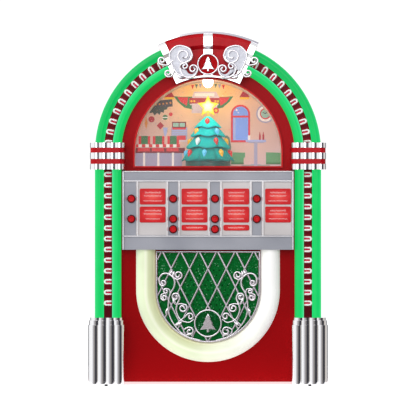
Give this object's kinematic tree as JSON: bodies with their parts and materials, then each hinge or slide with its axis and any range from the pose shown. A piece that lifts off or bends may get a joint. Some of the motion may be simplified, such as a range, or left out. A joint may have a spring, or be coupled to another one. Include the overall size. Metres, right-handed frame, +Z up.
{
  "type": "tabletop musical jukebox decoration",
  "caption": "Arched red tabletop musical jukebox with light tubes, a window over a turning fir tree on a stage, a push-button selector panel and a lattice speaker grille.",
  "frame": {"origin": "middle of the floor footprint, at the underside of the feet", "axes": "+Z up, the front with the window faces -Y, +X to the right as seen from the front"},
  "size_m": [0.2384, 0.12, 0.3523],
  "materials": {
    "red_shell": "moulded, glossy dark red",
    "window_red": "moulded, glossy bright red",
    "clear_lens": "clear polycarbonate sheet",
    "shroud_white": "satin off-white",
    "printed_card": "printed paper card",
    "deck_white": "satin white",
    "tree_green": "painted, pearly green",
    "turntable_green": "moulded green",
    "star_yellow": "translucent yellow",
    "bulb_mix": "coloured translucent bulbs",
    "gear_white": "natural acetal",
    "pinion_brass": "machined brass",
    "motor_steel": "plated steel can",
    "lamp_white": "frosted white lamp",
    "tube_green": "translucent green diffuser",
    "strip_maroon": "glossy maroon",
    "ring_white": "glossy white",
    "board_green": "solder-masked board",
    "chrome_plate": "chrome-plated plastic",
    "band_red": "painted glossy red",
    "scroll_silver": "plated silver with white glitter",
    "panel_grey": "satin silver-grey paint",
    "card_silver": "pale silver paint",
    "card_red": "printed red title cards",
    "button_red": "glossy red",
    "silicone": "grey silicone rubber",
    "u_light_cream": "cream translucent diffuser",
    "grille_silver": "plated silver",
    "grille_green": "green glitter sheet",
    "speaker_black": "painted steel basket",
    "cone_paper": "black paper cone",
    "tray_black": "black moulded plastic",
    "contact_steel": "nickel-plated spring steel",
    "cell_wrap": "plain wrapped steel can",
    "foot_rubber": "black rubber",
    "screw_steel": "zinc-plated steel"
  },
  "bodies": {
    "root": {"front_shell": "red_shell", "rear_shell": "red_shell", "window_bezel": "window_red", "window_lens": "clear_lens", "stage_shroud": "shroud_white", "backdrop_panel": "printed_card", "stage_deck": "deck_white", "gearmotor": "motor_steel", "scene_lamp": "lamp_white", "outer_tube": "tube_green", "inner_tube": "tube_green", "bubble_strip": "strip_maroon", "strip_rings": "ring_white", "light_boards": "board_green", "column_left": "chrome_plate", "column_right": "chrome_plate", "collar_left": "chrome_plate", "collar_right": "chrome_plate", "collar_bands": "band_red", "crown_body": "band_red", "crown_trim": "chrome_plate", "crown_scrolls": "scroll_silver", "crown_medallion": "scroll_silver", "selector_panel": "panel_grey", "card_plates": "card_silver", "title_cards": "card_red", "keypad_mat": "silicone", "button_board": "board_green", "u_light_lens": "u_light_cream", "grille_frame": "grille_silver", "grille_ornament": "grille_silver", "grille_backing": "grille_green", "speaker_frame": "speaker_black", "speaker_cone": "cone_paper", "main_board": "board_green", "battery_tray": "tray_black", "battery_contacts": "contact_steel", "batteries": "cell_wrap", "switch_body": "tray_black", "power_jack": "tray_black", "feet": "foot_rubber", "screws": "screw_steel"},
    "button_1_body": {"button_1": "button_red"},
    "button_2_body": {"button_2": "button_red"},
    "button_3_body": {"button_3": "button_red"},
    "button_4_body": {"button_4": "button_red"},
    "button_5_body": {"button_5": "button_red"},
    "button_6_body": {"button_6": "button_red"},
    "button_7_body": {"button_7": "button_red"},
    "button_8_body": {"button_8": "button_red"},
    "volume_down_button_body": {"volume_down_button": "button_red"},
    "volume_up_button_body": {"volume_up_button": "button_red"},
    "tree": {"turntable": "turntable_green", "turntable_gear": "gear_white", "tree_body": "tree_green", "tree_star": "star_yellow", "tree_bulbs": "bulb_mix"},
    "pinion": {"drive_pinion": "pinion_brass"},
    "door": {"battery_door": "red_shell"},
    "power_knob": {"switch_knob": "tray_black"}
  },
  "joints": [
    {"name": "button_1_press", "type": "slide", "parent": "root", "child": "button_1_body", "axis": [0, 1, 0], "range_m": [0, 0.0015], "stiffness_N_per_m": 500, "springref_m": -0.001},
    {"name": "button_2_press", "type": "slide", "parent": "root", "child": "button_2_body", "axis": [0, 1, 0], "range_m": [0, 0.0015], "stiffness_N_per_m": 500, "springref_m": -0.001},
    {"name": "button_3_press", "type": "slide", "parent": "root", "child": "button_3_body", "axis": [0, 1, 0], "range_m": [0, 0.0015], "stiffness_N_per_m": 500, "springref_m": -0.001},
    {"name": "button_4_press", "type": "slide", "parent": "root", "child": "button_4_body", "axis": [0, 1, 0], "range_m": [0, 0.0015], "stiffness_N_per_m": 500, "springref_m": -0.001},
    {"name": "button_5_press", "type": "slide", "parent": "root", "child": "button_5_body", "axis": [0, 1, 0], "range_m": [0, 0.0015], "stiffness_N_per_m": 500, "springref_m": -0.001},
    {"name": "button_6_press", "type": "slide", "parent": "root", "child": "button_6_body", "axis": [0, 1, 0], "range_m": [0, 0.0015], "stiffness_N_per_m": 500, "springref_m": -0.001},
    {"name": "button_7_press", "type": "slide", "parent": "root", "child": "button_7_body", "axis": [0, 1, 0], "range_m": [0, 0.0015], "stiffness_N_per_m": 500, "springref_m": -0.001},
    {"name": "button_8_press", "type": "slide", "parent": "root", "child": "button_8_body", "axis": [0, 1, 0], "range_m": [0, 0.0015], "stiffness_N_per_m": 500, "springref_m": -0.001},
    {"name": "volume_down_button_press", "type": "slide", "parent": "root", "child": "volume_down_button_body", "axis": [0, 1, 0], "range_m": [0, 0.0015], "stiffness_N_per_m": 500, "springref_m": -0.001},
    {"name": "volume_up_button_press", "type": "slide", "parent": "root", "child": "volume_up_button_body", "axis": [0, 1, 0], "range_m": [0, 0.0015], "stiffness_N_per_m": 500, "springref_m": -0.001},
    {"name": "tree_spin", "type": "hinge", "parent": "root", "child": "tree", "pos_m": [0, -0.008, 0.216], "axis": [0, 0, 1], "continuous": true},
    {"name": "pinion_spin", "type": "hinge", "parent": "root", "child": "pinion", "pos_m": [0.02885, -0.008, 0.205], "axis": [0, 0, 1], "continuous": true},
    {"name": "battery_door_hinge", "type": "hinge", "parent": "root", "child": "door", "pos_m": [-0.058, 0.0586, 0.0837], "axis": [1, 0, 0], "range_deg": [0, 80]},
    {"name": "power_switch_slide", "type": "slide", "parent": "root", "child": "power_knob", "axis": [1, 0, 0], "range_m": [0, 0.004]}
  ],
  "couplings": [
    {"joint": "pinion_spin", "follows": "tree_spin", "ratio": -3}
  ]
}
